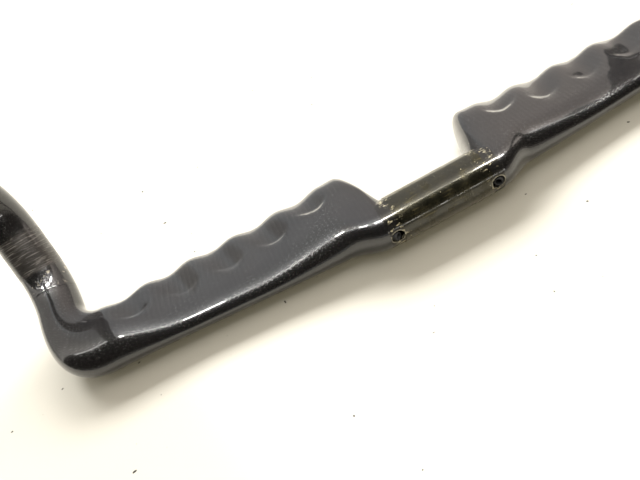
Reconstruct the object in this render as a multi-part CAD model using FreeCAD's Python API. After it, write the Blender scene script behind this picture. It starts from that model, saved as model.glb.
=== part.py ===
import FreeCAD, Part
import math
import os

# Drop handlebar in moulded carbon, in millimetres, lying upside down on its tops.
# Origin: middle of the bare stem clamp zone, on the axis of the centre tube.
# +X runs along the bar to the rider's left, +Y is forward, towards the hooks, and +Z is
# up as the bar lies, so it points down once the bar is on a bicycle.
# Everything on the left side is made once and mirrored for the right side.

V = FreeCAD.Vector

# ---- driving dimensions ----
clamp_radius = 13.0            # stem clamp zone, 26.0 mm across
clamp_half_length = 25.5       # half of the bare zone that the stem clamps
seat_radius = 12.7             # the same tube under the wing moulding
grip_radius = 11.9             # hooks and drops, 23.8 mm across
wall = 2.0                     # laminate thickness
bond_gap = 0.05                # glue line round the centre tube and its sleeve

# centre tube and its reinforcement
tube_half_length = 33.0
tail_length = 8.0              # tapered tail inside the wing moulding
tail_root_radius = 10.4
tail_tip_radius = 7.2
sleeve_half_length = 22.0
sleeve_wall = 1.5

# cable exit in the rear of the centre tube, just beside the wing
port_x = 29.0
port_radius = 3.2
port_stretch = 1.15            # length of the hole along the bar, over its width
port_angle = 80.0              # turned from +Z towards the rear, degrees

# wing, seen in plan
wing_start = 26.5
wing_front = 47.6              # front edge, ahead of the tube axis
wing_front_outer = 39.0        # front edge where the wing meets the corner
end_run = 16.0                 # length over which the inner end reaches the full chord
end_foot = 1.3                # above 1 the inner end leaves the tube in a hollow curve
end_blunt = 2.5                # higher is a squarer inner end
shoulder_drop = 1.2            # the front edge is this much further back at the inner end
shoulder_end = 64.0
root_end = 60.0                # from here outwards the section no longer follows the tube
rear_root_end = 54.0           # the same for the rear edge
flush_gap = 0.4                # the wing skin sits this far inside the clamp zone's surface
wing_rear_inner = -7.6
wing_rear_outer = 3.6
wing_half_thick = 9.3
wing_top = 5.2                 # the dished side is this far above the tube axis
top_end = 105.0                # from here outwards it no longer slopes down from the tube
end_half_thick = 9.8           # at the very start of the inner end
wing_sink = 2.4                # the wing sits this far below the tube axis
corner_sink = 1.1
camber_drop = 1.4              # how far the front edge lies below the middle of the section

# section shape: 2 is an ellipse, and more is boxier
front_square = 3.4
end_square = 4.5               # the same at the inner end
rear_square = 2.3
crest_inner = 0.34             # place of the greatest thickness, as a share of the chord
crest_outer = 0.48

# finger dishes on the side that faces up here
dish_count = 5
dish_first = 55.8
dish_pitch = 27.4
dish_depth = 2.4
dish_rear = 18.6               # rear end of a dish, ahead of the tube axis
dish_curl = 8.0                # the rear rim curves forward by this much at the ridges
dish_rim = 4.2                 # width of the sloping rear rim
dish_splay = 0.34              # dishes lean outwards towards the front edge
first_dish_shorter = 3.5

# corner: the sections turn about a pivot inside the notch
pivot_x = 184.0
pivot_reach = 33.0             # pivot ahead of the spine line
spine_y = 15.0
corner_square = 2.6            # outer outline of the corner, 2 is an ellipse
corner_half_thick = 11.5
ramp_rise = 14.0               # slope of the hook as it leaves the corner, degrees
twist_start = 148.0
outer_blend = 138.0            # from here outwards the wing changes into the corner

# hook and drop, in a plane that leans outwards by the flare
hook_x = 207.0
flare = 4.0
upper_bend = 50.0
lever_slope = 50.0             # slope of the straight stretch that the lever clamps to
lever_length = 20.0
front_bend = 40.0
front_end_slope = 150.0
lower_bend = 130.0
lower_end_slope = 172.0
drop_end_length = 52.0
joint_share = 0.40             # how much of the upper bend belongs to the wing moulding
spigot_share = 0.36            # reach of the spigot each side of the joint, same measure
spigot_wall = 1.4
spigot_gap = 0.15              # glue line round the spigot

# end plug, measured inwards from the end of the drop
plug_clearance = 0.06
flange_thick = 2.6
flange_proud = 0.5
collar_length = 6.0
expander_length = 15.0
expander_mouth = 6.6
expander_throat = 3.6
wedge_gap = 0.15
screw_radius = 2.0
screw_clearance = 0.05
head_radius = 3.5
head_depth = 2.2
hex_radius = 1.7
hex_depth = 1.5
screw_length = 25.0
boss_gap = 0.2

# cable liner
liner_radius = 2.2
liner_bore = 1.7
entry_x = 168.0
entry_y = 20.0
entry_radius = 2.7

section_steps = 18             # steps along half a section
end_zone = 42.0                # the closely spaced sections reach this far
end_step = 1.6
dish_step = 3.2
mirror_normal = V(1, 0, 0)


def mix(a, b, t):
    """Value between a and b, with t from 0 to 1."""
    return a + (b - a) * t


def smooth(low, high, value):
    """0 below low, 1 above high, and an S-curve between them."""
    t = min(1.0, max(0.0, (value - low) / (high - low)))
    return t * t * (3.0 - 2.0 * t)


# ---- the hook's centre line ----
rise_cos = math.cos(math.radians(ramp_rise))
rise_sin = math.sin(math.radians(ramp_rise))
lean = math.radians(flare)
hook_start = (spine_y + pivot_reach * rise_cos, pivot_reach * rise_sin - corner_sink)


def hook_place(y, height):
    """A point of the hook's leaning plane, ahead of the axis by y and at a height."""
    rise = height - hook_start[1]
    return V(hook_x + rise * math.sin(lean), y, hook_start[1] + rise * math.cos(lean))


def hook_direction(slope):
    """Unit vector in the hook's plane, at a slope in degrees above the forward direction."""
    rise = math.sin(math.radians(slope))
    return V(rise * math.sin(lean), math.cos(math.radians(slope)), rise * math.cos(lean))


def bend_end(start, radius, slope_from, slope_to):
    """Where a bend of the hook ends, as (y, height)."""
    a = math.radians(slope_from)
    b = math.radians(slope_to)
    return (start[0] + radius * (math.sin(b) - math.sin(a)),
            start[1] + radius * (math.cos(a) - math.cos(b)))


def run_end(start, length, slope):
    """Where a straight stretch of the hook ends, as (y, height)."""
    a = math.radians(slope)
    return (start[0] + length * math.cos(a), start[1] + length * math.sin(a))


def bend_edge(start, radius, slope_from, slope_to):
    """Arc edge for one bend of the hook."""
    middle = bend_end(start, radius, slope_from, 0.5 * (slope_from + slope_to))
    end = bend_end(start, radius, slope_from, slope_to)
    return Part.Arc(hook_place(*start), hook_place(*middle), hook_place(*end)).toShape()


def run_edge(start, length, slope):
    """Straight edge of the hook."""
    return Part.LineSegment(hook_place(*start), hook_place(*run_end(start, length, slope))).toShape()


joint_slope = mix(ramp_rise, lever_slope, joint_share)
joint_point = bend_end(hook_start, upper_bend, ramp_rise, joint_slope)
lever_start = bend_end(hook_start, upper_bend, ramp_rise, lever_slope)
lever_end = run_end(lever_start, lever_length, lever_slope)
front_end = bend_end(lever_end, front_bend, lever_slope, front_end_slope)
lower_end = bend_end(front_end, lower_bend, front_end_slope, lower_end_slope)
drop_tip = run_end(lower_end, drop_end_length, lower_end_slope)


def rod_along(edges, start, slope, radius):
    """Solid rod of one radius along a chain of edges."""
    disc = Part.Wire(Part.makeCircle(radius, hook_place(*start), hook_direction(slope)))
    return Part.Wire(edges).makePipeShell([disc], True, False)


def pipe_along(edges, start, slope, outer, inner):
    """Tube along a chain of edges."""
    return rod_along(edges, start, slope, outer).cut(rod_along(edges, start, slope, inner))


# ---- wing and corner sections ----
def front_edge(x):
    """Front edge of the wing, ahead of the bar's axis, at a distance x along the bar."""
    grow = min(1.0, max(0.0, (x - wing_start) / end_run)) ** end_foot
    inner_end = 1.0 - (1.0 - grow) ** end_blunt
    full = mix(wing_front, wing_front_outer, smooth(outer_blend, pivot_x, x))
    full -= shoulder_drop * (1.0 - smooth(wing_start + end_run, shoulder_end, x))
    return mix(clamp_radius - 1.0, full, inner_end)


def rear_edge(x):
    """Rear edge of the wing: flush with the tube at first, then swept forward."""
    swept = mix(wing_rear_inner, wing_rear_outer, smooth(0.0, pivot_x + 30.0, x))
    return mix(flush_gap - clamp_radius, swept, smooth(tube_half_length, rear_root_end, x))


def half_thickness(x, angle):
    """Thickness of the wing above its middle (angle under 180 degrees) or below it."""
    full = clamp_radius - flush_gap
    if x < tube_half_length:
        return mix(end_half_thick, full, smooth(wing_start, tube_half_length, x))
    root = smooth(tube_half_length, root_end, x)
    inner = mix(full, wing_half_thick, root)
    if angle < 180.0:
        inner = mix(full, wing_top, smooth(tube_half_length, top_end, x)) + wing_sink * root
    return mix(inner, corner_half_thick, smooth(outer_blend, pivot_x, x))


def sink(x):
    """How far the middle of the wing lies below the tube axis."""
    inner = wing_sink * smooth(tube_half_length, root_end, x)
    return mix(inner, corner_sink, smooth(outer_blend, pivot_x, x))


def dish(x, y):
    """Depth of the finger dishes at a place seen in plan."""
    depth = 0.0
    for index in range(dish_count):
        middle = dish_first + index * dish_pitch + dish_splay * (y - dish_rear)
        across = 2.0 * (x - middle) / dish_pitch
        if abs(across) < 1.0:
            rim = dish_rear + dish_curl * across ** 2
            if index == 0:
                rim += first_dish_shorter
            depth += dish_depth * math.cos(0.5 * math.pi * across) ** 2 * smooth(rim, rim + dish_rim, y)
    return depth


def power(value, exponent):
    """Signed power."""
    return math.copysign(abs(value) ** exponent, value)


def egg_point(rear, front, half, crest_share, squares, angle):
    """Point of a rounded section and its outward normal, both as (forward, up).

    The angle is 0 at the front edge and 180 at the rear edge, and squares holds the
    squareness of the rear part and of the front part.
    """
    turn = math.radians(angle)
    crest = mix(rear, front, crest_share)
    ahead = math.cos(turn) > 0.0
    reach = front - crest if ahead else crest - rear
    square = squares[1] if ahead else squares[0]
    across = power(math.cos(turn), 2.0 / square)
    up = math.sin(turn)
    normal = V(power(across, square - 1.0) * square / reach, 2.0 * up / half, 0.0).normalize()
    return crest + reach * across, half * up, normal


def wing_point(x, angle, depth):
    """Point of the wing at x, depth below its surface."""
    outer_share = smooth(outer_blend, pivot_x, x)
    shift = 0.9 * depth * (1.0 - smooth(40.0, 55.0, x))
    rear = rear_edge(x) + depth
    front = front_edge(x - shift) - depth
    half = half_thickness(x, angle) - depth
    ahead_square = mix(end_square, front_square, smooth(wing_start + end_run, shoulder_end, x))
    behind_square = mix(2.0, rear_square, smooth(tube_half_length, root_end, x))
    squares = (mix(behind_square, 2.0, outer_share), mix(ahead_square, 2.0, outer_share))
    crest_share = mix(-rear / (front - rear), crest_inner, smooth(tube_half_length, root_end, x))
    crest_share = mix(crest_share, crest_outer, outer_share)
    forward, up, normal = egg_point(rear, front, half, crest_share, squares, angle)
    sunk = dish(x, forward) * smooth(-0.45, 0.25, normal.y)
    forward -= sunk * normal.x
    up -= sunk * normal.y
    ahead = (forward - rear) / (front - rear)
    up -= camber_drop * ahead ** 2 * (1.0 - outer_share)
    twist = math.radians(ramp_rise) * smooth(twist_start, pivot_x, x)
    arm = forward - spine_y
    return V(x, spine_y + arm * math.cos(twist) - up * math.sin(twist),
             arm * math.sin(twist) + up * math.cos(twist) - sink(x))


def corner_point(turn, angle, depth):
    """Point of the corner, where the section has turned by some degrees about the pivot."""
    share = turn / 90.0
    sine = math.sin(math.radians(turn))
    cosine = math.cos(math.radians(turn))
    side = hook_x + grip_radius - pivot_x
    back = pivot_reach + spine_y - rear_edge(pivot_x)
    outer = ((sine / side) ** corner_square + (cosine / back) ** corner_square) ** (-1.0 / corner_square)
    notch = pivot_reach + spine_y - front_edge(pivot_x)
    inner = mix(notch, hook_x - grip_radius - pivot_x, smooth(0.0, 1.0, share))
    half = mix(corner_half_thick, grip_radius, share) - depth
    crest_share = mix(crest_outer, 0.5, share)
    forward, up, _ = egg_point(depth - outer, -inner - depth, half, crest_share, (2.0, 2.0), angle)
    ahead = pivot_reach + forward * cosine
    return V(pivot_x - forward * sine, spine_y + ahead * rise_cos - up * rise_sin,
             ahead * rise_sin + up * rise_cos - corner_sink)


def bend_point(slope, angle, depth):
    """Point of the round section on the upper bend, where the hook has reached a slope."""
    along = hook_direction(slope)
    inward = V(-1, 0, 0)
    inward = (inward - along * inward.dot(along)).normalize()
    upward = along.cross(inward).normalize()
    centre = hook_place(*bend_end(hook_start, upper_bend, ramp_rise, slope))
    turn = math.radians(angle)
    radius = grip_radius - depth
    return centre + inward * (radius * math.cos(turn)) + upward * (radius * math.sin(turn))


def wing_stations():
    """Where the wing's sections are, from the inner end to the joint with the drop."""
    stations = []
    x = wing_start
    while x < end_zone:
        stations.append((wing_point, x))
        x += end_step
    count = int((pivot_x - end_zone) / dish_step)
    for index in range(count):
        stations.append((wing_point, mix(end_zone, pivot_x, index / count)))
    for index in range(9):
        stations.append((corner_point, index * 10.0))
    for index in range(4):
        stations.append((bend_point, mix(ramp_rise, joint_slope, index / 3.0)))
    return stations


def skin(stations, angle_from, angle_to, depth):
    """Smooth surface through half of every section."""
    grid = []
    for make_point, place in stations:
        row = []
        for index in range(section_steps + 1):
            row.append(make_point(place, mix(angle_from, angle_to, index / section_steps), depth))
        grid.append(row)
    surface = Part.BSplineSurface()
    surface.interpolate(grid)
    return surface


def half_shell(angle_from, angle_to):
    """One half of the hollow wing moulding, as a closed solid."""
    stations = wing_stations()
    outer = skin(stations, angle_from, angle_to, 0.0)
    inner = skin(stations, angle_from, angle_to, wall)
    faces = [outer.toShape(), inner.toShape()]
    u_first, u_last, v_first, v_last = outer.bounds()
    iu_first, iu_last, iv_first, iv_last = inner.bounds()
    pairs = [(outer.uIso(u_first), inner.uIso(iu_first)), (outer.uIso(u_last), inner.uIso(iu_last)),
             (outer.vIso(v_first), inner.vIso(iv_first)), (outer.vIso(v_last), inner.vIso(iv_last))]
    for outer_curve, inner_curve in pairs:
        faces.append(Part.makeRuledSurface(outer_curve.toShape(), inner_curve.toShape()))
    shell = Part.makeShell(faces)
    shell.sewShape(1e-3)
    solid = Part.makeSolid(shell)
    if solid.Volume < 0.0:
        solid.reverse()
    return solid


# ---- building the pieces of one side ----
def port_direction():
    """Outward direction of the cable exit."""
    turn = math.radians(port_angle)
    return V(0.0, -math.sin(turn), math.cos(turn))


def port_cutter():
    """Rounded slot that cuts the cable exit through the centre tube and the wing's edge."""
    out = port_direction()
    half_run = port_radius * (port_stretch - 1.0)
    pieces = []
    for step in (-1.0, 0.0, 1.0):
        base = V(port_x + step * half_run, 0, 0) + out * (clamp_radius - 2.0 * wall)
        pieces.append(Part.makeCylinder(port_radius, 3.0 * wall, base, out))
    return pieces[0].fuse(pieces[1:]).removeSplitter()


def wing_shell(angle_from, angle_to, entry_hole):
    """Half of the wing moulding, fitted round the centre tube."""
    tube_room = Part.makeCylinder(seat_radius + bond_gap, tube_half_length, V(0, 0, 0), V(1, 0, 0))
    pieces = half_shell(angle_from, angle_to).cut([tube_room, port_cutter()]).Solids
    shell = max(pieces, key=lambda piece: piece.Volume)
    if entry_hole:
        drill = Part.makeCylinder(entry_radius, 30.0, V(entry_x, entry_y, -25.0), V(0, 0, 1))
        shell = shell.cut(drill)
    return shell


def drop():
    """The hook and drop, one tube from the joint to the open end."""
    edges = [bend_edge(joint_point, upper_bend, joint_slope, lever_slope),
             run_edge(lever_start, lever_length, lever_slope),
             bend_edge(lever_end, front_bend, lever_slope, front_end_slope),
             bend_edge(front_end, lower_bend, front_end_slope, lower_end_slope),
             run_edge(lower_end, drop_end_length, lower_end_slope)]
    return pipe_along(edges, joint_point, joint_slope, grip_radius, grip_radius - wall)


def drop_spigot():
    """Short bent tube bonded inside the joint between the wing moulding and the drop."""
    reach = spigot_share * (lever_slope - ramp_rise)
    slope = joint_slope - reach
    start = bend_end(hook_start, upper_bend, ramp_rise, slope)
    edges = [bend_edge(start, upper_bend, slope, joint_slope + reach)]
    outer = grip_radius - wall - spigot_gap
    return pipe_along(edges, start, slope, outer, outer - spigot_wall)


def liner_path():
    """Edges of the cable liner, straight runs joined by tangent arcs."""
    out = port_direction()
    mouth = V(port_x, 0, 0) + out * (clamp_radius - 0.4)
    points = [mouth, V(36.0, -2.6, 0.4), V(52.0, 0.6, -1.6), V(90.0, 8.0, -2.6), V(135.0, 12.0, -2.6),
              V(158.0, 17.6, -2.4), V(entry_x, entry_y, -7.8)]
    edges = []
    start = points[0]
    for index in range(1, len(points) - 1):
        corner = points[index]
        before = corner - points[index - 1]
        after = points[index + 1] - corner
        turn = before.getAngle(after)
        setback = 0.45 * min(before.Length, after.Length)
        into = before.normalize()
        out_of = after.normalize()
        arc_start = corner - into * setback
        arc_end = corner + out_of * setback
        toward = (out_of - into).normalize()
        radius = setback / math.tan(0.5 * turn)
        middle = corner + toward * (radius / math.cos(0.5 * turn) - radius)
        edges.append(Part.LineSegment(start, arc_start).toShape())
        edges.append(Part.Arc(arc_start, middle, arc_end).toShape())
        start = arc_end
    edges.append(Part.LineSegment(start, points[-1]).toShape())
    return edges, points[0], (points[1] - points[0]).normalize()


def cable_liner():
    """Thin tube that guides the cable from the lever side to the exit beside the stem."""
    edges, start, along = liner_path()
    wire = Part.Wire(edges)
    outer = wire.makePipeShell([Part.Wire(Part.makeCircle(liner_radius, start, along))], True, False)
    bore = wire.makePipeShell([Part.Wire(Part.makeCircle(liner_bore, start, along))], True, False)
    return outer.cut(bore)


# ---- end plug ----
# The plug is drawn standing at the origin with its axis along +Z pointing out of the bar,
# z = 0 at the end face of the drop, and is then moved to the end of the drop.
bore_radius = grip_radius - wall
expander_top = -collar_length
expander_bottom = expander_top - expander_length
head_seat = flange_thick - head_depth - 0.2


def ring_of(points):
    """Solid turned about +Z from a closed outline of (radius, z) points."""
    outline = Part.makePolygon([V(r, 0, z) for r, z in points + points[:1]])
    return Part.Face(outline).revolve(V(0, 0, 0), V(0, 0, 1), 360)


def plug_cap():
    """Flange that closes the drop, with a collar inside the bore and a screw hole."""
    rim = grip_radius + flange_proud
    collar = bore_radius - plug_clearance
    hole = screw_radius + screw_clearance
    recess = head_radius + 0.3
    points = [(hole, -collar_length), (collar, -collar_length), (collar, 0.02), (rim, 0.02),
              (rim, 0.5 * flange_thick), (rim - 1.2, flange_thick), (recess, flange_thick),
              (recess, head_seat), (hole, head_seat)]
    return ring_of(points)


def plug_expander():
    """Rubber sleeve that swells against the bore when the wedge is drawn into it."""
    outer = bore_radius - plug_clearance
    points = [(expander_throat, expander_top), (outer, expander_top), (outer, expander_bottom),
              (expander_mouth, expander_bottom)]
    return ring_of(points)


def plug_wedge():
    """Threaded cone that the screw draws into the expander."""
    bore = screw_radius + screw_clearance
    top = expander_top - 3.0
    slope = (expander_mouth - expander_throat) / expander_length
    top_radius = expander_throat + slope * 3.0 - wedge_gap
    bottom = expander_bottom - 1.0
    bottom_radius = top_radius + slope * (top - bottom)
    return ring_of([(bore, top), (top_radius, top), (bottom_radius, bottom), (bore, bottom)])


def plug_screw():
    """Socket-head screw along the axis of the plug."""
    seat = head_seat + boss_gap
    top = seat + head_depth
    points = [(0.0, seat - screw_length), (screw_radius - 0.4, seat - screw_length),
              (screw_radius, seat - screw_length + 0.4), (screw_radius, seat), (head_radius, seat),
              (head_radius, top - 0.3), (head_radius - 0.3, top), (0.0, top)]
    corners = []
    for index in range(7):
        turn = math.radians(60.0 * index)
        corners.append(V(hex_radius * math.cos(turn), hex_radius * math.sin(turn), top - hex_depth))
    socket = Part.Face(Part.makePolygon(corners)).extrude(V(0, 0, hex_depth + 1.0))
    return ring_of(points).cut(socket)


def at_drop_end(shape):
    """Move a plug piece from the origin to the end of the drop."""
    placed = shape.copy()
    turn = FreeCAD.Rotation(V(0, 0, 1), hook_direction(lower_end_slope))
    placed.Placement = FreeCAD.Placement(hook_place(*drop_tip), turn)
    return placed


# ---- pieces on the middle of the bar ----
def centre_tube():
    """The bare tube that the stem clamps, with a tapered tail at each end."""
    outside = [(clamp_half_length, clamp_radius), (clamp_half_length, seat_radius),
               (tube_half_length, seat_radius), (tube_half_length, tail_root_radius),
               (tube_half_length + tail_length, tail_tip_radius)]
    inside = [(tube_half_length + tail_length, tail_tip_radius - wall),
              (tube_half_length, clamp_radius - wall)]
    half = outside + inside
    outline = half + [(-x, r) for x, r in reversed(half)]
    points = [V(x, r, 0) for x, r in outline]
    tube = Part.Face(Part.makePolygon(points + points[:1])).revolve(V(0, 0, 0), V(1, 0, 0), 360)
    cutter = port_cutter()
    return tube.cut([cutter, cutter.mirror(V(0, 0, 0), mirror_normal)])


def clamp_sleeve():
    """Stiffening sleeve bonded inside the stem clamp zone."""
    outer = clamp_radius - wall - bond_gap
    base = V(-sleeve_half_length, 0, 0)
    rod = Part.makeCylinder(outer, 2.0 * sleeve_half_length, base, V(1, 0, 0))
    return rod.cut(Part.makeCylinder(outer - sleeve_wall, 2.0 * sleeve_half_length, base, V(1, 0, 0)))


# ---- write the files ----
def main():
    os.makedirs("parts", exist_ok=True)
    side_pieces = {
        "wing_finger_shell": wing_shell(0.0, 180.0, False),
        "wing_palm_shell": wing_shell(180.0, 360.0, True),
        "drop": drop(),
        "drop_spigot": drop_spigot(),
        "cable_liner": cable_liner(),
        "plug_cap": at_drop_end(plug_cap()),
        "plug_expander": at_drop_end(plug_expander()),
        "plug_wedge": at_drop_end(plug_wedge()),
        "plug_screw": at_drop_end(plug_screw()),
    }
    pieces = {"centre_tube": centre_tube(), "clamp_sleeve": clamp_sleeve()}
    for name, shape in side_pieces.items():
        pieces["left_" + name] = shape
        pieces["right_" + name] = shape.mirror(V(0, 0, 0), mirror_normal)
    for name, shape in pieces.items():
        shape.exportStep("parts/" + name + ".step")
        print(name, "volume %.1f mm3" % shape.Volume, "solids", len(shape.Solids), "valid", shape.isValid())
    for label, point in (("lever from", lever_start), ("lever to", lever_end), ("drop end", drop_tip)):
        place = hook_place(*point)
        print(label, "x %.3f y %.3f z %.3f" % (place.x, place.y, place.z))
    for label, slope in (("lever direction", lever_slope), ("drop end direction", lower_end_slope)):
        along = hook_direction(slope)
        print(label, "%.5f %.5f %.5f" % (along.x, along.y, along.z))


main()
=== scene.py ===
import math

import bpy
from mathutils import Matrix, Vector


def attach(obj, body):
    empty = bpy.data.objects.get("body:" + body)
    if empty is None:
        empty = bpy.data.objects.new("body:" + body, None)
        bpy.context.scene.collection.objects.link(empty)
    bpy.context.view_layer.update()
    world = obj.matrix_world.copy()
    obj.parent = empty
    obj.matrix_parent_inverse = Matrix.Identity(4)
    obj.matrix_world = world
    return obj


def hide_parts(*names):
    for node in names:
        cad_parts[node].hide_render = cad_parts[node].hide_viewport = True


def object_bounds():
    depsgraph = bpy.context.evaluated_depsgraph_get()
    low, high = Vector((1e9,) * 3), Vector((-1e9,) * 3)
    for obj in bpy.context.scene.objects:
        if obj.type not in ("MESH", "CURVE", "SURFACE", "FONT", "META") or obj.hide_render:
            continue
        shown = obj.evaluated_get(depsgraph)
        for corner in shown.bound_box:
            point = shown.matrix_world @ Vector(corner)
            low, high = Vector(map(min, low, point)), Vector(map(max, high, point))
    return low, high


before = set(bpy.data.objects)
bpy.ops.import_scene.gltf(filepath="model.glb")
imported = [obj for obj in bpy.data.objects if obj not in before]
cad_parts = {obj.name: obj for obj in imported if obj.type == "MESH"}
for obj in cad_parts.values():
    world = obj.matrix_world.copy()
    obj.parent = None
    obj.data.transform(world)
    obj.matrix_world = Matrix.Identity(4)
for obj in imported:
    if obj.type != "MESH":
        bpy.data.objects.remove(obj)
cad_low, cad_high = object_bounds()

# ---- driving dimensions of the moulding, in millimetres, as the CAD part has them ----
MM = 0.001
PER_METRE = 1000.0
clamp_radius = 13.0
grip_radius = 11.9
wall = 2.0
tube_half_length = 33.0

port_x = 29.0
port_radius = 3.2
port_stretch = 1.15
port_angle = 80.0

wing_start = 26.5
wing_front = 47.6
wing_front_outer = 39.0
end_run = 16.0
end_foot = 1.3
end_blunt = 2.5
end_inset = 1.0                # the inner end starts this far inside the tube's surface
shoulder_drop = 1.2
shoulder_end = 64.0
root_end = 60.0
rear_root_end = 54.0
flush_gap = 0.4
wing_rear_inner = -7.6
wing_rear_outer = 3.6
sweep_past_pivot = 30.0        # the rear edge's sweep ends this far beyond the pivot
wing_half_thick = 9.3
wing_top = 5.2
top_end = 105.0
end_half_thick = 9.8
wing_sink = 2.4
corner_sink = 1.1
camber_drop = 1.4
front_square = 3.4
end_square = 4.5
rear_square = 2.3
crest_inner = 0.34
crest_outer = 0.48

dish_count = 5
dish_first = 55.8
dish_pitch = 27.4
dish_depth = 2.4
dish_rear = 18.6
dish_curl = 8.0
dish_rim = 4.2
dish_splay = 0.34
first_dish_shorter = 3.5
dish_fade_low = -0.45          # upward share of the normal where a dish starts to cut
dish_fade_high = 0.25          # and where it has its full depth

pivot_x = 184.0
pivot_reach = 33.0
spine_y = 15.0
corner_square = 2.6
corner_half_thick = 11.5
ramp_rise = 14.0
twist_start = 148.0
outer_blend = 138.0

hook_x = 207.0
flare = 4.0
upper_bend = 50.0
lever_slope = 50.0
lever_length = 20.0
front_bend = 40.0
front_end_slope = 150.0
lower_bend = 130.0
lower_end_slope = 172.0
drop_end_length = 52.0
joint_share = 0.40

# ---- joint line and open end of the drops, which only the visible model has, in millimetres ----
joint_groove_depth = 0.12
joint_groove_length = 0.35
open_end_rounding = 0.25

# ---- fineness of the meshes ----
SECTION_POINTS = 144           # points round a wing section
TUBE_POINTS = 96               # points round the drop
PORT_POINTS = 48               # points round a cable port
END_STEPS = 44                 # sections over the inner end of a wing
END_CROWDING = 1.7             # they crowd towards the tube by this exponent
WING_STEP = 1.0
CORNER_STEP = 2.5              # degrees
HOOK_STEP = 1.5                # degrees
RUN_STEP = 2.0
SHARP_ANGLE = 45.0             # degrees; steeper edges stay crisp

# ---- the photographic set-up ----
LENS = 28.125
CAMERA_PLACE = Vector((-76.6, -158.4, 202.8)) * MM
CAMERA_RIGHT = Vector((0.87859, -0.39207, -0.27269))
CAMERA_UP = Vector((0.47505, 0.65886, 0.58329))

rise_cos = math.cos(math.radians(ramp_rise))
rise_sin = math.sin(math.radians(ramp_rise))
lean = math.radians(flare)
hook_start = (spine_y + pivot_reach * rise_cos, pivot_reach * rise_sin - corner_sink)
joint_slope = ramp_rise + (lever_slope - ramp_rise) * joint_share


def mix(a, b, t):
    """Value between a and b, with t from 0 to 1."""
    return a + (b - a) * t


def smooth(low, high, value):
    """0 below low, 1 above high, and an S-curve between them."""
    t = min(1.0, max(0.0, (value - low) / (high - low)))
    return t * t * (3.0 - 2.0 * t)


def power(value, exponent):
    """Signed power."""
    return math.copysign(abs(value) ** exponent, value)


# ---- shape of the wing, corner and hook ----
def front_edge(x):
    """Front edge of the wing, ahead of the bar's axis."""
    grow = min(1.0, max(0.0, (x - wing_start) / end_run)) ** end_foot
    inner_end = 1.0 - (1.0 - grow) ** end_blunt
    full = mix(wing_front, wing_front_outer, smooth(outer_blend, pivot_x, x))
    full -= shoulder_drop * (1.0 - smooth(wing_start + end_run, shoulder_end, x))
    return mix(clamp_radius - end_inset, full, inner_end)


def rear_edge(x):
    """Rear edge of the wing: flush with the tube at first, then swept forward."""
    swept = mix(wing_rear_inner, wing_rear_outer, smooth(0.0, pivot_x + sweep_past_pivot, x))
    return mix(flush_gap - clamp_radius, swept, smooth(tube_half_length, rear_root_end, x))


def half_thickness(x, angle):
    """Thickness of the wing above its middle (angle under 180 degrees) or below it."""
    full = clamp_radius - flush_gap
    if x < tube_half_length:
        return mix(end_half_thick, full, smooth(wing_start, tube_half_length, x))
    root = smooth(tube_half_length, root_end, x)
    inner = mix(full, wing_half_thick, root)
    if angle < 180.0:
        inner = mix(full, wing_top, smooth(tube_half_length, top_end, x)) + wing_sink * root
    return mix(inner, corner_half_thick, smooth(outer_blend, pivot_x, x))


def sink(x):
    """How far the middle of the wing lies below the tube axis."""
    inner = wing_sink * smooth(tube_half_length, root_end, x)
    return mix(inner, corner_sink, smooth(outer_blend, pivot_x, x))


def dish(x, y):
    """Depth of the finger dishes at a place seen in plan."""
    depth = 0.0
    for index in range(dish_count):
        middle = dish_first + index * dish_pitch + dish_splay * (y - dish_rear)
        across = 2.0 * (x - middle) / dish_pitch
        if abs(across) < 1.0:
            rim = dish_rear + dish_curl * across ** 2
            if index == 0:
                rim += first_dish_shorter
            depth += dish_depth * math.cos(0.5 * math.pi * across) ** 2 * smooth(rim, rim + dish_rim, y)
    return depth


def egg_point(rear, front, half, crest_share, squares, angle):
    """Point of a rounded section and its outward normal, as (forward, up)."""
    turn = math.radians(angle)
    crest = mix(rear, front, crest_share)
    ahead = math.cos(turn) > 0.0
    reach = front - crest if ahead else crest - rear
    square = squares[1] if ahead else squares[0]
    across = power(math.cos(turn), 2.0 / square)
    up = math.sin(turn)
    normal = Vector((power(across, square - 1.0) * square / reach, 2.0 * up / half)).normalized()
    return crest + reach * across, half * up, normal


def wing_point(x, angle):
    """Point of the wing's surface at x."""
    outer_share = smooth(outer_blend, pivot_x, x)
    rear = rear_edge(x)
    front = front_edge(x)
    ahead_square = mix(end_square, front_square, smooth(wing_start + end_run, shoulder_end, x))
    behind_square = mix(2.0, rear_square, smooth(tube_half_length, root_end, x))
    squares = (mix(behind_square, 2.0, outer_share), mix(ahead_square, 2.0, outer_share))
    crest_share = mix(-rear / (front - rear), crest_inner, smooth(tube_half_length, root_end, x))
    crest_share = mix(crest_share, crest_outer, outer_share)
    half = half_thickness(x, angle)
    forward, up, normal = egg_point(rear, front, half, crest_share, squares, angle)
    sunk = dish(x, forward) * smooth(dish_fade_low, dish_fade_high, normal.y)
    forward -= sunk * normal.x
    up -= sunk * normal.y
    ahead = (forward - rear) / (front - rear)
    up -= camber_drop * ahead ** 2 * (1.0 - outer_share)
    twist = math.radians(ramp_rise) * smooth(twist_start, pivot_x, x)
    arm = forward - spine_y
    return Vector((x, spine_y + arm * math.cos(twist) - up * math.sin(twist),
                   arm * math.sin(twist) + up * math.cos(twist) - sink(x)))


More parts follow.
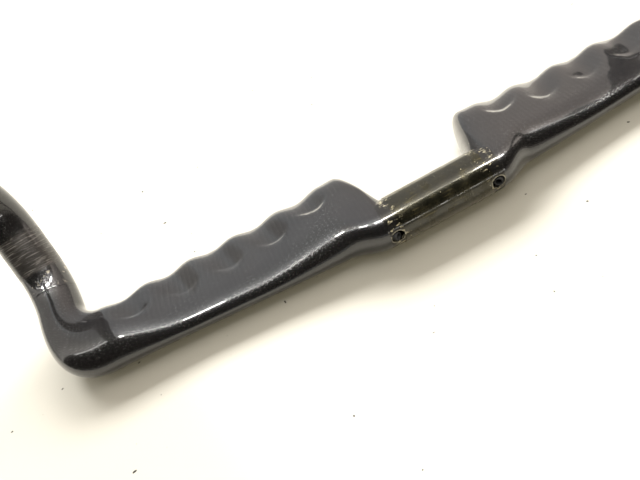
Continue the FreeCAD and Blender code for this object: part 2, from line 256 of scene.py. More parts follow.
def corner_point(turn, angle):
    """Point of the corner, where the section has turned by some degrees about the pivot."""
    share = turn / 90.0
    sine = math.sin(math.radians(turn))
    cosine = math.cos(math.radians(turn))
    side = hook_x + grip_radius - pivot_x
    back = pivot_reach + spine_y - rear_edge(pivot_x)
    outer = ((sine / side) ** corner_square + (cosine / back) ** corner_square) ** (-1.0 / corner_square)
    notch = pivot_reach + spine_y - front_edge(pivot_x)
    inner = mix(notch, hook_x - grip_radius - pivot_x, smooth(0.0, 1.0, share))
    half = mix(corner_half_thick, grip_radius, share)
    crest_share = mix(crest_outer, 0.5, share)
    forward, up, _ = egg_point(-outer, -inner, half, crest_share, (2.0, 2.0), angle)
    ahead = pivot_reach + forward * cosine
    return Vector((pivot_x - forward * sine, spine_y + ahead * rise_cos - up * rise_sin,
                   ahead * rise_sin + up * rise_cos - corner_sink))


def hook_place(y, height):
    """A point of the hook's leaning plane."""
    rise = height - hook_start[1]
    return Vector((hook_x + rise * math.sin(lean), y, hook_start[1] + rise * math.cos(lean)))


def hook_direction(slope):
    """Unit vector in the hook's plane, at a slope in degrees above the forward direction."""
    rise = math.sin(math.radians(slope))
    return Vector((rise * math.sin(lean), math.cos(math.radians(slope)), rise * math.cos(lean)))


def bend_end(start, radius, slope_from, slope_to):
    """Where a bend of the hook ends, as (y, height)."""
    a = math.radians(slope_from)
    b = math.radians(slope_to)
    return (start[0] + radius * (math.sin(b) - math.sin(a)),
            start[1] + radius * (math.cos(a) - math.cos(b)))


def run_end(start, length, slope):
    """Where a straight stretch of the hook ends, as (y, height)."""
    a = math.radians(slope)
    return (start[0] + length * math.cos(a), start[1] + length * math.sin(a))


def ring_point(place, slope, angle, radius):
    """Point of the round section at a place on the hook's line."""
    along = hook_direction(slope)
    inward = Vector((-1.0, 0.0, 0.0))
    inward = (inward - along * inward.dot(along)).normalized()
    upward = along.cross(inward).normalized()
    turn = math.radians(angle)
    return hook_place(*place) + inward * (radius * math.cos(turn)) + upward * (radius * math.sin(turn))


# ---- mesh building ----
def section_angles(count):
    """Angles round a section, from 0 to 360."""
    return [360.0 * index / count for index in range(count + 1)]


def wing_rings():
    """Sections of the wing skin as (distance along the bar, points from 0 to 360 degrees)."""
    angles = section_angles(SECTION_POINTS)
    rings = []
    for index in range(END_STEPS):
        x = wing_start + end_run * (index / END_STEPS) ** END_CROWDING
        rings.append((x, [wing_point(x, angle) for angle in angles]))
    steps = round((pivot_x - wing_start - end_run) / WING_STEP)
    for index in range(steps):
        x = mix(wing_start + end_run, pivot_x, index / steps)
        rings.append((x, [wing_point(x, angle) for angle in angles]))
    turned = []
    for index in range(round(90.0 / CORNER_STEP)):
        turned.append([corner_point(index * CORNER_STEP, angle) for angle in angles])
    steps = round((joint_slope - ramp_rise) / HOOK_STEP)
    for index in range(steps + 1):
        slope = mix(ramp_rise, joint_slope, index / steps)
        place = bend_end(hook_start, upper_bend, ramp_rise, slope)
        turned.append([ring_point(place, slope, angle, grip_radius) for angle in angles])
    along = pivot_x
    before = turned[0]
    for ring in turned:
        middle_before = sum(before[:-1], Vector()) / SECTION_POINTS
        middle = sum(ring[:-1], Vector()) / SECTION_POINTS
        along += (middle - middle_before).length
        rings.append((along, ring))
        before = ring
    return rings


def drop_line():
    """The drop's line as (distance from the joint, (y, height), slope), closely spaced."""
    joint = bend_end(hook_start, upper_bend, ramp_rise, joint_slope)
    line = [(0.0, joint, joint_slope)]
    stretches = (("bend", upper_bend, lever_slope), ("run", lever_length, lever_slope),
                 ("bend", front_bend, front_end_slope), ("bend", lower_bend, lower_end_slope),
                 ("run", drop_end_length, lower_end_slope))
    for kind, size, slope_to in stretches:
        along, start, slope_from = line[-1]
        if kind == "run":
            steps = round(size / RUN_STEP)
            for index in range(1, steps + 1):
                length = size * index / steps
                line.append((along + length, run_end(start, length, slope_from), slope_from))
        else:
            steps = round((slope_to - slope_from) / HOOK_STEP)
            for index in range(1, steps + 1):
                slope = mix(slope_from, slope_to, index / steps)
                length = math.radians(slope - slope_from) * size
                line.append((along + length, bend_end(start, size, slope_from, slope), slope))
    return line


def drop_rings():
    """Sections of the drop's skin, with a fine groove at the joint and a rounded open end."""
    angles = section_angles(TUBE_POINTS)
    line = drop_line()
    length = line[-1][0]
    rings = []
    for along, place, slope in line:
        radius = grip_radius
        if along == 0.0:
            radius -= joint_groove_depth
        if along == length:
            radius -= open_end_rounding
        rings.append((along, [ring_point(place, slope, angle, radius) for angle in angles]))
    groove_end = run_end(line[0][1], joint_groove_length, joint_slope)
    full_ring = [ring_point(groove_end, joint_slope, angle, grip_radius) for angle in angles]
    rings.insert(1, (joint_groove_length, full_ring))
    return rings


def skin_mesh(name, rings, side, drop_face=None):
    """Quad mesh through closed sections, with a UV map that holds true lengths in metres.

    Side is 1 for the left and -1 for the right, which mirrors the points.
    """
    count = len(rings[0][1]) - 1
    half = count // 2
    points = []
    lengths = []
    for along, ring in rings:
        for point in ring[:-1]:
            points.append(Vector((side * point.x, point.y, point.z)) * MM)
        around = [0.0] * (count + 1)
        for index in range(half + 1, count + 1):
            around[index] = around[index - 1] - (ring[index] - ring[index - 1]).length
        for index in range(half - 1, -1, -1):
            around[index] = around[index + 1] + (ring[index] - ring[index + 1]).length
        lengths.append((along, around))
    faces = []
    places = []
    for row in range(len(rings) - 1):
        for column in range(count):
            corners = [(row, column), (row + 1, column), (row + 1, column + 1), (row, column + 1)]
            if side > 0:
                corners.reverse()
            face = [r * count + c % count for r, c in corners]
            if drop_face and all(drop_face(points[index]) for index in face):
                continue
            faces.append(face)
            places.append([(lengths[r][0] * MM, lengths[r][1][c] * MM) for r, c in corners])
    mesh = bpy.data.meshes.new(name)
    mesh.from_pydata([tuple(point) for point in points], [], faces)
    layer = mesh.uv_layers.new(name="length")
    flat = [value for face in places for place in face for value in place]
    layer.data.foreach_set("uv", flat)
    mesh.update()
    return mesh


def port_cutter(side):
    """Rounded slot that cuts the cable exit, as a closed mesh object."""
    turn = math.radians(port_angle)
    out = Vector((0.0, -math.sin(turn), math.cos(turn)))
    beside = Vector((1.0, 0.0, 0.0)).cross(out)
    half_run = port_radius * (port_stretch - 1.0)
    count = PORT_POINTS
    points = []
    for height in (clamp_radius - 2.0 * wall, clamp_radius + wall):
        for index in range(count):
            angle = 2.0 * math.pi * (index + 0.5) / count
            along = port_radius * math.cos(angle) + math.copysign(half_run, math.cos(angle))
            across = port_radius * math.sin(angle)
            place = Vector((port_x + along, 0.0, 0.0)) + out * height + beside * across
            points.append((side * place.x * MM, place.y * MM, place.z * MM))
    faces = [[i, (i + 1) % count, count + (i + 1) % count, count + i] for i in range(count)]
    faces.append(list(range(count - 1, -1, -1)))
    faces.append(list(range(count, 2 * count)))
    if side > 0:
        faces = [face[::-1] for face in faces]
    mesh = bpy.data.meshes.new("port_cutter")
    mesh.from_pydata(points, [], faces)
    cutter = bpy.data.objects.new("port_cutter", mesh)
    bpy.context.scene.collection.objects.link(cutter)
    return cutter


def solid_piece(name, mesh, thickness, cutter=None):
    """Give a skin its wall thickness, inwards, cut a hole in it, and keep its edges crisp."""
    draft = bpy.data.objects.new(name + "_draft", mesh)
    bpy.context.scene.collection.objects.link(draft)
    thicken = draft.modifiers.new("wall", "SOLIDIFY")
    thicken.thickness = thickness
    thicken.offset = -1.0
    if cutter:
        hole = draft.modifiers.new("hole", "BOOLEAN")
        hole.operation = "DIFFERENCE"
        hole.solver = "EXACT"
        hole.object = cutter
    bpy.context.view_layer.update()
    evaluated = draft.evaluated_get(bpy.context.evaluated_depsgraph_get())
    solid = bpy.data.meshes.new_from_object(evaluated)
    bpy.data.objects.remove(draft)
    if cutter:
        bpy.data.objects.remove(cutter)
    solid.name = name
    solid.shade_smooth()
    solid.set_sharp_from_angle(angle=math.radians(SHARP_ANGLE))
    piece = bpy.data.objects.new(name, solid)
    bpy.context.scene.collection.objects.link(piece)
    return piece


def inside_tube(point):
    """True where the centre tube hides the wing's skin."""
    if abs(point.x) > tube_half_length * MM:
        return False
    return math.hypot(point.y, point.z) < (clamp_radius - wall) * MM


def drop_loose_points(mesh):
    """Delete the points that no face uses."""
    used = sorted({index for face in mesh.polygons for index in face.vertices})
    renumber = {old: new for new, old in enumerate(used)}
    points = [tuple(mesh.vertices[index].co) for index in used]
    faces = [[renumber[index] for index in face.vertices] for face in mesh.polygons]
    uvs = [tuple(item.uv) for item in mesh.uv_layers[0].data]
    clean = bpy.data.meshes.new(mesh.name)
    clean.from_pydata(points, [], faces)
    layer = clean.uv_layers.new(name="length")
    layer.data.foreach_set("uv", [value for uv in uvs for value in uv])
    clean.update()
    bpy.data.meshes.remove(mesh)
    return clean


# ---- colours and wear of the carbon, with painted sheen, glints and floor reflection ----
CLOTH_PITCH = 0.95             # mm between the tows of the moulded wings and drops
TUBE_CLOTH_PITCH = 2.1         # and of the centre tube
TOW_DARK = ((0.004, 0.004, 0.005), (0.008, 0.007, 0.007))
# Painted sheen: the lighter tow colour below stands in for the shine of the tows on top and of the cloth's
# crowns.
TOW_PAINTED_SHEEN = ((0.040, 0.040, 0.043), (0.058, 0.054, 0.050))
# Painted highlight: glints painted on the crowns of the weave.
TOW_PAINTED_GLINT = (0.10, 0.10, 0.095)
SPECK = (0.30, 0.29, 0.26)
CHIPPED = (0.45, 0.41, 0.30)
LEVER_RUBBED = (0.060, 0.052, 0.044)
LEVER_SCRATCHED = (0.33, 0.30, 0.27)
FLAKED = (0.42, 0.38, 0.31)
LEVER_BAND = (13.0, 17.0, 36.0, 40.0)  # mm from the joint: starts, full, still full, gone
FLAKE_MIDDLE = 9.0             # mm from the joint
FLAKE_REACH = (3.0, 9.0)       # mm either side of it: full, gone
TUBE_POLISH = ((0.008, 0.008, 0.005), (0.019, 0.017, 0.009))
TUBE_CLOTH = (0.026, 0.024, 0.016)
TUBE_FIBRE = (0.17, 0.14, 0.065)
TUBE_RUBBED = (0.26, 0.24, 0.17)
# Painted reflection: the pale floor as the tube's lower rear side would mirror it.
TUBE_FLOOR_REFLECTION = (0.14, 0.128, 0.10)
TUBE_BONDED = (0.015, 0.0145, 0.0145)
TUBE_CHIPPED = (0.55, 0.49, 0.33)
PORT_LIP = (0.40, 0.37, 0.29)
WARM_TINT = (1.0, 0.93, 0.72)
DIELECTRIC_COAT = 1.5          # refractive index of the clear coat


# ---- materials ----
class Nodes:
    """Small helper that writes node trees as formulas, ending in one shader and its output."""

    def __init__(self, owner, shader_kind, output_kind):
        owner.use_nodes = True
        self.tree = owner.node_tree
        self.tree.nodes.clear()
        output = self.tree.nodes.new(output_kind)
        self.shader = self.tree.nodes.new(shader_kind)
        self.link(self.shader.outputs[0], output.inputs["Surface"])

    def link(self, source, target):
        self.tree.links.new(source, target)

    def feed(self, socket, value):
        """Link a socket, or set its value."""
        if isinstance(value, bpy.types.NodeSocket):
            self.link(value, socket)
        else:
            socket.default_value = value

    def math(self, operation, *values):
        """One Math node."""
        node = self.tree.nodes.new("ShaderNodeMath")
        node.operation = operation
        for socket, value in zip(node.inputs, values):
            self.feed(socket, value)
        return node.outputs[0]

    def ramp(self, value, low, high, low_out=0.0, high_out=1.0, shape="SMOOTHSTEP"):
        """Smooth or linear step of a value from low to high."""
        node = self.tree.nodes.new("ShaderNodeMapRange")
        node.interpolation_type = shape
        for name, number in (("Value", value), ("From Min", low), ("From Max", high),
                             ("To Min", low_out), ("To Max", high_out)):
            self.feed(node.inputs[name], number)
        return node.outputs["Result"]

    def colour(self, share, first, second):
        """Mix two colours."""
        node = self.tree.nodes.new("ShaderNodeMix")
        node.data_type = "RGBA"
        self.feed(node.inputs["Factor"], share)
        for name, value in (("A", first), ("B", second)):
            socket = next(s for s in node.inputs if s.name == name and s.type == "RGBA")
            self.feed(socket, value if isinstance(value, bpy.types.NodeSocket) else (*value, 1.0))
        return next(s for s in node.outputs if s.type == "RGBA")

    def stops(self, share, colours):
        """Colours blended between their places, given as (place, colour)."""
        node = self.tree.nodes.new("ShaderNodeValToRGB")
        self.link(share, node.inputs["Fac"])
        elements = node.color_ramp.elements
        while len(elements) < len(colours):
            elements.new(0.5)
        for element, (place, colour) in zip(elements, colours):
            element.position = place
            element.color = (*colour, 1.0)
        return node.outputs["Color"]

    def product(self, first, second):
        """Two colours multiplied."""
        node = self.tree.nodes.new("ShaderNodeVectorMath")
        node.operation = "MULTIPLY"
        self.link(first, node.inputs[0])
        self.link(second, node.inputs[1])
        return node.outputs[0]

    def split(self, vector):
        """The three parts of a vector."""
        node = self.tree.nodes.new("ShaderNodeSeparateXYZ")
        self.link(vector, node.inputs[0])
        return tuple(node.outputs[name] for name in "XYZ")

    def uv(self):
        """Lengths along and around the part, in millimetres."""
        node = self.tree.nodes.new("ShaderNodeUVMap")
        node.uv_map = "length"
        along, around, _ = self.split(node.outputs["UV"])
        return self.math("MULTIPLY", along, PER_METRE), self.math("MULTIPLY", around, PER_METRE)

    def place(self):
        """Object coordinates in millimetres, as three values."""
        node = self.tree.nodes.new("ShaderNodeTexCoord")
        return tuple(self.math("MULTIPLY", part, PER_METRE) for part in self.split(node.outputs["Object"]))

    def vector(self, x, y, z):
        """Three values as one vector."""
        node = self.tree.nodes.new("ShaderNodeCombineXYZ")
        for socket, value in zip(node.inputs, (x, y, z)):
            self.feed(socket, value)
        return node.outputs[0]

    def noise(self, vector, scale, detail, roughness=0.5):
        """Noise from 0 to 1, with its scale in features per millimetre."""
        node = self.tree.nodes.new("ShaderNodeTexNoise")
        self.feed(node.inputs["Vector"], vector)
        node.inputs["Scale"].default_value = scale
        node.inputs["Detail"].default_value = detail
        node.inputs["Roughness"].default_value = roughness
        return node.outputs["Fac"]

    def bump(self, height, distance, strength, normal=None):
        """Bump whose height is in millimetres."""
        node = self.tree.nodes.new("ShaderNodeBump")
        node.inputs["Strength"].default_value = strength
        node.inputs["Distance"].default_value = distance * MM
        self.feed(node.inputs["Height"], height)
        if normal:
            self.link(normal, node.inputs["Normal"])
        return node.outputs["Normal"]


def new_material(name):
    """A material with a principled shader, and the helper that writes its nodes."""
    material = bpy.data.materials.new(name)
    return material, Nodes(material, "ShaderNodeBsdfPrincipled", "ShaderNodeOutputMaterial")


def twill(nodes, u, v, pitch):
    """Two-over-two twill, laid at 45 degrees: which tow is on top, and the cloth's height."""
    diagonal = pitch * math.sqrt(2.0)
    warp = nodes.math("DIVIDE", nodes.math("ADD", u, v), diagonal)
    weft = nodes.math("DIVIDE", nodes.math("SUBTRACT", u, v), diagonal)
    cell = nodes.math("ADD", nodes.math("FLOOR", warp), nodes.math("FLOOR", weft))
    step = nodes.math("FLOORED_MODULO", cell, 4.0)
    on_top = nodes.math("LESS_THAN", step, 1.5)  # steps 0 and 1 of every four
    crown_warp = nodes.math("SINE", nodes.math("MULTIPLY", nodes.math("FRACT", warp), math.pi))
    crown_weft = nodes.math("SINE", nodes.math("MULTIPLY", nodes.math("FRACT", weft), math.pi))
    difference = nodes.math("SUBTRACT", crown_warp, crown_weft)
    height = nodes.math("ADD", crown_weft, nodes.math("MULTIPLY", on_top, difference))
    return on_top, height


def clear_carbon(name, lever_scuffs):
    """Carbon cloth under a clear gloss coat, with painted sheen and painted glints on the tows, and specks,
    chips and scuffs where it is worn.
    """
    material, nodes = new_material(name)
    u, v = nodes.uv()
    x, y, z = nodes.place()
    here = nodes.vector(x, y, z)
    on_top, height = twill(nodes, u, v, CLOTH_PITCH)
    patches = nodes.noise(here, 0.035, 2.0)
    fibres = nodes.noise(nodes.vector(u, v, 0.0), 0.9, 2.0)
    # Painted sheen: the tows on top and the crowns of the cloth take the lighter tow colour, in place of
    # their shine.
    crown = nodes.ramp(height, 0.2, 1.0)
    painted_sheen_share = nodes.math("MULTIPLY", nodes.math("ADD", nodes.math("MULTIPLY", on_top, 0.35), 0.65), crown)
    tow = nodes.math("MULTIPLY", painted_sheen_share, nodes.ramp(fibres, 0.25, 0.75, 0.45, 1.0))
    dark = nodes.colour(patches, *TOW_DARK)
    light = nodes.colour(patches, *TOW_PAINTED_SHEEN)
    colour = nodes.colour(tow, dark, light)
    # Painted highlight: glints painted on the highest crowns of the cloth, in patches.
    painted_glint = nodes.math("MULTIPLY", nodes.ramp(height, 0.80, 0.95), nodes.ramp(fibres, 0.56, 0.70))
    painted_glint = nodes.math("MULTIPLY", painted_glint, nodes.ramp(patches, 0.40, 0.62))
    colour = nodes.colour(painted_glint, colour, TOW_PAINTED_GLINT)

    specks = nodes.ramp(nodes.noise(here, 1.9, 1.0), 0.785, 0.81)
    colour = nodes.colour(nodes.math("MULTIPLY", specks, 0.45), colour, SPECK)

    near_clamp = nodes.ramp(nodes.math("ABSOLUTE", x), 27.0, 33.0, 1.0, 0.0)
    ragged = nodes.noise(nodes.vector(nodes.math("MULTIPLY", x, 1.5), y, z), 0.48, 4.0, 0.66)
    chips = nodes.ramp(nodes.math("ADD", ragged, nodes.math("MULTIPLY", near_clamp, 0.12)), 0.70, 0.725)
    chips = nodes.math("MULTIPLY", chips, nodes.ramp(near_clamp, 0.0, 0.3))
    colour = nodes.colour(nodes.math("MULTIPLY", chips, 0.8), colour, CHIPPED)
    wear = chips

    if lever_scuffs:
        fade_in = nodes.ramp(u, *LEVER_BAND[:2])
        fade_out = nodes.ramp(u, *LEVER_BAND[2:], 1.0, 0.0)
        band = nodes.math("MULTIPLY", fade_in, fade_out)
        drawn_out = nodes.vector(nodes.math("MULTIPLY", u, 1.5), nodes.math("MULTIPLY", v, 0.09), 3.0)
        across = nodes.noise(drawn_out, 1.0, 4.0, 0.65)
        scratch = nodes.math("MULTIPLY", nodes.ramp(across, 0.52, 0.66), band)
        rub = nodes.math("MULTIPLY", nodes.noise(here, 0.16, 3.0), band)
        colour = nodes.colour(nodes.math("MULTIPLY", rub, 0.8), colour, LEVER_RUBBED)
        colour = nodes.colour(nodes.math("MULTIPLY", scratch, 0.6), colour, LEVER_SCRATCHED)
        from_middle = nodes.math("ABSOLUTE", nodes.math("SUBTRACT", u, FLAKE_MIDDLE))
        edge = nodes.ramp(from_middle, *FLAKE_REACH, 1.0, 0.0)
        flakes = nodes.ramp(nodes.noise(here, 0.42, 4.0, 0.6), 0.63, 0.66)
        flakes = nodes.math("MULTIPLY", flakes, edge)
        colour = nodes.colour(flakes, colour, FLAKED)
        wear = nodes.math("MAXIMUM", nodes.math("MAXIMUM", scratch, flakes), chips)
        wear = nodes.math("MAXIMUM", wear, nodes.math("MULTIPLY", rub, 0.8))

    shader = nodes.shader
    nodes.link(colour, shader.inputs["Base Color"])
    shader.inputs["Metallic"].default_value = 0.45
    nodes.link(nodes.ramp(wear, 0.0, 1.0, 0.20, 0.65), shader.inputs["Roughness"])
    shader.inputs["Coat Roughness"].default_value = 0.012
    shader.inputs["Coat IOR"].default_value = DIELECTRIC_COAT
    nodes.link(nodes.ramp(wear, 0.0, 1.0, 1.0, 0.15), shader.inputs["Coat Weight"])
    cloth = nodes.bump(height, 0.035, 0.7)
    pitted = nodes.math("MULTIPLY", wear, -1.0)
    nodes.link(nodes.bump(pitted, 0.12, 0.8, cloth), shader.inputs["Normal"])
    ripple = nodes.noise(here, 0.11, 1.0)
    print_through = nodes.bump(height, 0.0007, 1.0, nodes.bump(ripple, 0.012, 1.0))
    nodes.link(nodes.bump(pitted, 0.1, 0.8, print_through), shader.inputs["Coat Normal"])
    return material


def bare_carbon():
    """The stem clamp zone: worn carbon with an olive-brown polish, rubbed along and across, and a painted
    reflection of the pale floor on its lower rear side.
    """
    material, nodes = new_material("bare_carbon")
    x, y, z = nodes.place()
    backward = nodes.math("MULTIPLY", y, -1.0)
    turn = nodes.math("ARCTAN2", backward, z)
    around = nodes.math("MULTIPLY", turn, clamp_radius)
    here = nodes.vector(x, y, z)
    _, height = twill(nodes, x, around, TUBE_CLOTH_PITCH)
    along_noise = nodes.noise(nodes.vector(nodes.math("MULTIPLY", x, 0.10), around, 0.0), 0.9, 4.0, 0.6)
    across_noise = nodes.noise(nodes.vector(x, nodes.math("MULTIPLY", around, 0.10), 0.0), 0.9, 4.0, 0.6)
    cloud = nodes.noise(here, 0.13, 3.0)
    worn = nodes.ramp(cloud, 0.35, 0.7)
    colour = nodes.colour(worn, *TUBE_POLISH)
    cloth = nodes.math("MULTIPLY", nodes.ramp(height, 0.2, 1.0), 0.30)
    colour = nodes.colour(cloth, colour, TUBE_CLOTH)
    fibre = nodes.math("MULTIPLY", nodes.ramp(along_noise, 0.50, 0.72), worn)
    colour = nodes.colour(nodes.math("MULTIPLY", fibre, 0.5), colour, TUBE_FIBRE)
    rubbed = nodes.ramp(across_noise, 0.62, 0.72)
    colour = nodes.colour(nodes.math("MULTIPLY", rubbed, 0.22), colour, TUBE_RUBBED)
    # Painted reflection of the pale floor on the lower rear side of the tube.
    floor_reflection_share = nodes.ramp(turn, math.radians(78.0), math.radians(112.0))
    colour = nodes.colour(nodes.math("MULTIPLY", floor_reflection_share, 0.6), colour, TUBE_FLOOR_REFLECTION)

    distance = nodes.math("ABSOLUTE", x)
    ends = nodes.ramp(distance, 18.0, 25.0)
    ragged = nodes.noise(here, 0.38, 4.0, 0.68)
    chips = nodes.ramp(nodes.math("ADD", ragged, nodes.math("MULTIPLY", ends, 0.07)), 0.69, 0.72)
    bonded = nodes.ramp(nodes.math("ADD", distance, nodes.math("MULTIPLY", ragged, 5.0)), 28.6, 29.6)
    colour = nodes.colour(bonded, colour, TUBE_BONDED)
    torn = nodes.noise(nodes.vector(nodes.math("MULTIPLY", x, 0.45), around, 7.0), 0.62, 4.0, 0.6)
    near_wing = nodes.math("MULTIPLY", nodes.ramp(distance, 22.0, 26.5),
                           nodes.ramp(distance, 28.5, 32.0, 1.0, 0.0))
    torn = nodes.math("MULTIPLY", nodes.ramp(torn, 0.60, 0.64), near_wing)
    chips = nodes.math("MAXIMUM", chips, torn)
    colour = nodes.colour(nodes.math("MULTIPLY", chips, 0.85), colour, TUBE_CHIPPED)

    half_run = port_radius * (port_stretch - 1.0)
    from_middle = nodes.math("ABSOLUTE", nodes.math("SUBTRACT", distance, port_x))
    past = nodes.math("MAXIMUM", nodes.math("SUBTRACT", from_middle, half_run), 0.0)
    beside = nodes.math("SUBTRACT", around, clamp_radius * math.radians(port_angle))
    from_port = nodes.math("SQRT", nodes.math("ADD", nodes.math("MULTIPLY", past, past),
                                              nodes.math("MULTIPLY", beside, beside)))
    lip = nodes.ramp(from_port, port_radius + 0.25, port_radius + 0.9, 1.0, 0.0)
    lip = nodes.math("MULTIPLY", lip, nodes.ramp(ragged, 0.36, 0.52))
    colour = nodes.colour(nodes.math("MULTIPLY", lip, 0.6), colour, PORT_LIP)

    shader = nodes.shader
    nodes.link(colour, shader.inputs["Base Color"])
    shader.inputs["Metallic"].default_value = 0.3
    polish = nodes.ramp(cloud, 0.3, 0.75, 0.18, 0.32)
    nodes.link(nodes.math("ADD", polish, nodes.math("MULTIPLY", chips, 0.3)), shader.inputs["Roughness"])
    nodes.link(nodes.ramp(cloud, 0.45, 0.65, 0.7, 0.25), shader.inputs["Coat Weight"])
    shader.inputs["Coat Roughness"].default_value = 0.05
    shader.inputs["Specular Tint"].default_value = (*WARM_TINT, 1.0)
    shader.inputs["Specular IOR Level"].default_value = 0.36
    scored = nodes.math("ADD", nodes.math("MULTIPLY", along_noise, 0.6), nodes.math("MULTIPLY", rubbed, -0.4))
    rough = nodes.bump(scored, 0.06, 0.8)
    nodes.link(nodes.bump(nodes.math("MULTIPLY", chips, -1.0), 0.15, 0.9, rough), shader.inputs["Normal"])
    nodes.link(nodes.bump(scored, 0.02, 0.8), shader.inputs["Coat Normal"])
    return material


def plain_material(name, colour, roughness, metallic, grain):
    """Moulded or turned material with a fine grain, in mm, and slight colour variation."""
    material, nodes = new_material(name)
    here = nodes.vector(*nodes.place())
    cloud = nodes.noise(here, 0.25, 3.0)
    shade = tuple(min(1.0, 1.35 * part) for part in colour)
    nodes.link(nodes.colour(nodes.ramp(cloud, 0.35, 0.65), colour, shade), nodes.shader.inputs["Base Color"])
    nodes.link(nodes.ramp(cloud, 0.3, 0.7, roughness, min(1.0, roughness + 0.12)),
               nodes.shader.inputs["Roughness"])
    nodes.shader.inputs["Metallic"].default_value = metallic
    fine = nodes.noise(here, 4.0, 2.0)
    nodes.link(nodes.bump(fine, grain, 0.7), nodes.shader.inputs["Normal"])
    return material


def put_material(piece, material):
    """Give a piece one material."""
    piece.data.materials.clear()
    piece.data.materials.append(material)


# ---- the set ----
def build_world():
    """Room seen in the gloss: a pale strip low behind the camera, dark above it, a bright
    edge just before the top, and softer light ahead. Its warmth changes along the bar.

    Each level is a brightness at an angle round the bar's axis, from the near horizon at 0
    over the top at 90 to the far horizon at 180 degrees. Each tint is at a share of the way
    from the right (-X) to the left (+X).
    """
    levels = ((0.0, 0.45), (8.0, 0.42), (12.0, 0.02), (77.5, 0.02), (79.0, 2.5), (88.0, 2.2),
              (100.0, 1.35), (115.0, 1.10), (136.0, 1.04), (146.0, 0.86), (156.0, 0.72), (180.0, 0.68))
    tints = ((0.28, (0.70, 0.67, 0.62)), (0.37, (0.97, 1.0, 1.0)), (0.83, (1.0, 0.90, 0.82)))
    top = max(level for _, level in levels)
    greys = [(degrees / 180.0, (level / top, level / top, level / top)) for degrees, level in levels]
    world = bpy.data.worlds.new("room")
    bpy.context.scene.world = world
    nodes = Nodes(world, "ShaderNodeBackground", "ShaderNodeOutputWorld")
    where = nodes.tree.nodes.new("ShaderNodeTexCoord")
    x, y, z = nodes.split(where.outputs["Generated"])
    turn = nodes.math("ARCTAN2", z, nodes.math("MULTIPLY", y, -1.0))
    brightness = nodes.stops(nodes.math("DIVIDE", turn, math.pi), greys)
    tint = nodes.stops(nodes.ramp(x, -1.0, 1.0, shape="LINEAR"), tints)
    nodes.link(nodes.product(brightness, tint), nodes.shader.inputs["Color"])
    nodes.shader.inputs["Strength"].default_value = top


def add_light(name, place, aim, size, radiance, tint, seen_by):
    """Rectangular light of a given radiance, which only diffuse or only glossy surfaces see."""
    data = bpy.data.lights.new(name, "AREA")
    data.shape = "RECTANGLE"
    data.size = size[0]
    data.size_y = size[1]
    data.energy = radiance * math.pi * size[0] * size[1]
    data.color = tint
    lamp = bpy.data.objects.new(name, data)
    bpy.context.scene.collection.objects.link(lamp)
    lamp.location = place
    back = (Vector(place) - Vector(aim)).normalized()
    right = Vector((1.0, 0.0, 0.0))
    right = (right - back * right.dot(back)).normalized()
    up = back.cross(right)
    lamp.rotation_euler = Matrix((right, up, back)).transposed().to_euler()
    lamp.visible_camera = False
    lamp.visible_diffuse = seen_by == "diffuse"
    lamp.visible_glossy = seen_by == "glossy"
    lamp.visible_transmission = False


def strip_light(name, elevation, along, length, width, radiance):
    """Long narrow lamp at an angle above the near horizon, which gloss surfaces mirror."""
    reach = 1.3
    tint = (1.0, 0.98, 0.94)
    turn = math.radians(elevation)
    place = Vector((along, -reach * math.cos(turn), reach * math.sin(turn)))
    add_light(name, place, (along, 0.0, 0.0), (length, width), radiance, tint, "glossy")


def build_lights():
    """A window ahead, a warm bounce from behind the camera, and strips for the gloss to mirror."""
    middle = (0.0, 0.0, 0.0)
    add_light("window", (0.0, 1.30, 1.08), middle, (1.8, 0.56), 30.0, (0.99, 0.99, 1.0), "diffuse")
    add_light("warm_bounce", (0.1, -0.9, 0.9), middle, (0.8, 0.8), 2.8, WARM_TINT, "diffuse")
    high = 77.2                # degrees above the near horizon
    low = 11.4
    # name, angle, place along the bar, length and width in metres, radiance
    strips = (
        ("high_strip_corner", high, -0.56, 0.26, 0.08, 90.0),
        ("high_strip_middle", high, 0.06, 0.40, 0.08, 110.0),
        ("high_strip_outer", high, 0.80, 0.54, 0.08, 110.0),
        ("high_strip_dim", high, 0.0, 3.0, 0.05, 9.0),
        ("low_strip", low, 0.50, 0.62, 0.03, 16.0),
    )
    for strip in strips:
        strip_light(*strip)


def build_floor():
    """Pale floor with a few dark specks under the bar."""
    mesh = bpy.data.meshes.new("floor")
    reach = 3.0
    floor_gap = 0.0001
    low = cad_low.z - floor_gap
    corners = [(-reach, -reach, low), (reach, -reach, low), (reach, reach, low), (-reach, reach, low)]
    mesh.from_pydata(corners, [], [(0, 1, 2, 3)])
    floor = bpy.data.objects.new("floor", mesh)
    bpy.context.scene.collection.objects.link(floor)
    material, nodes = new_material("pale_floor")
    here = nodes.vector(*nodes.place())
    specks = nodes.ramp(nodes.noise(here, 0.33, 0.0), 0.865, 0.88)
    colour = nodes.colour(specks, (0.52, 0.495, 0.43), (0.05, 0.045, 0.04))
    nodes.link(colour, nodes.shader.inputs["Base Color"])
    nodes.shader.inputs["Roughness"].default_value = 0.9
    nodes.shader.inputs["Specular IOR Level"].default_value = 0.2
    put_material(floor, material)


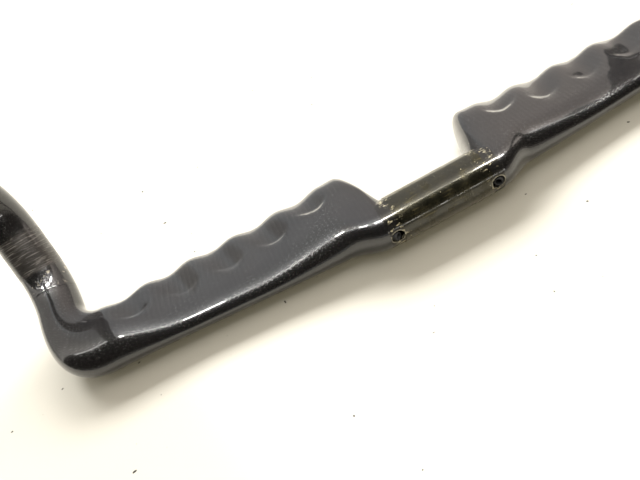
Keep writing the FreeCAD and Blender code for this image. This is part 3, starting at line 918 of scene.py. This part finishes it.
def build_camera():
    """Camera at the viewing angle of the reference."""
    data = bpy.data.cameras.new("camera")
    data.lens = LENS
    data.sensor_width = 36.0
    data.clip_start = 0.005
    data.clip_end = 20.0
    camera = bpy.data.objects.new("camera", data)
    bpy.context.scene.collection.objects.link(camera)
    backward = CAMERA_RIGHT.cross(CAMERA_UP).normalized()
    turn = Matrix((CAMERA_RIGHT, CAMERA_UP, backward)).transposed().to_4x4()
    camera.matrix_world = Matrix.Translation(CAMERA_PLACE) @ turn
    bpy.context.scene.camera = camera


# ---- build ----
def build_bar():
    """Skins of the moulded wings and the drops, which stand for their CAD solids."""
    wing_carbon = clear_carbon("clear_coated_carbon", False)
    drop_carbon = clear_carbon("drop_carbon", True)
    rings_of_wing = wing_rings()
    rings_of_drop = drop_rings()
    for side, name in ((1, "left"), (-1, "right")):
        mesh = drop_loose_points(skin_mesh(name + "_wing_skin", rings_of_wing, side, inside_tube))
        wing = solid_piece(name + "_wing", mesh, wall * MM, port_cutter(side))
        put_material(wing, wing_carbon)
        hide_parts(name + "_wing_finger_shell", name + "_wing_palm_shell")
        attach(wing, "bar")
        mesh = skin_mesh(name + "_drop_skin", rings_of_drop, side)
        drop = solid_piece(name + "_drop_tube", mesh, wall * MM)
        put_material(drop, drop_carbon)
        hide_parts(name + "_drop")
        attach(drop, "bar")


def finish_cad_nodes():
    """Materials for the CAD nodes that stay."""
    raw = plain_material("raw_laminate", (0.018, 0.018, 0.018), 0.55, 0.0, 0.02)
    finishes = {
        "centre_tube": bare_carbon(),
        "clamp_sleeve": raw,
        "drop_spigot": raw,
        "cable_liner": plain_material("liner_plastic", (0.012, 0.012, 0.012), 0.6, 0.0, 0.01),
        "plug_cap": plain_material("plug_plastic", (0.016, 0.016, 0.017), 0.42, 0.0, 0.03),
        "plug_expander": plain_material("plug_rubber", (0.022, 0.022, 0.023), 0.7, 0.0, 0.03),
        "plug_wedge": plain_material("plug_metal", (0.55, 0.55, 0.57), 0.3, 1.0, 0.005),
        "plug_screw": plain_material("screw_steel", (0.38, 0.38, 0.40), 0.28, 1.0, 0.004),
    }
    for name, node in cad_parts.items():
        key = name.removeprefix("left_").removeprefix("right_")
        if key in finishes:
            put_material(node, finishes[key])


build_camera()
build_world()
build_floor()
build_bar()
finish_cad_nodes()
build_lights()
scene = bpy.context.scene
scene.view_settings.view_transform = "Standard"
scene.view_settings.look = "None"
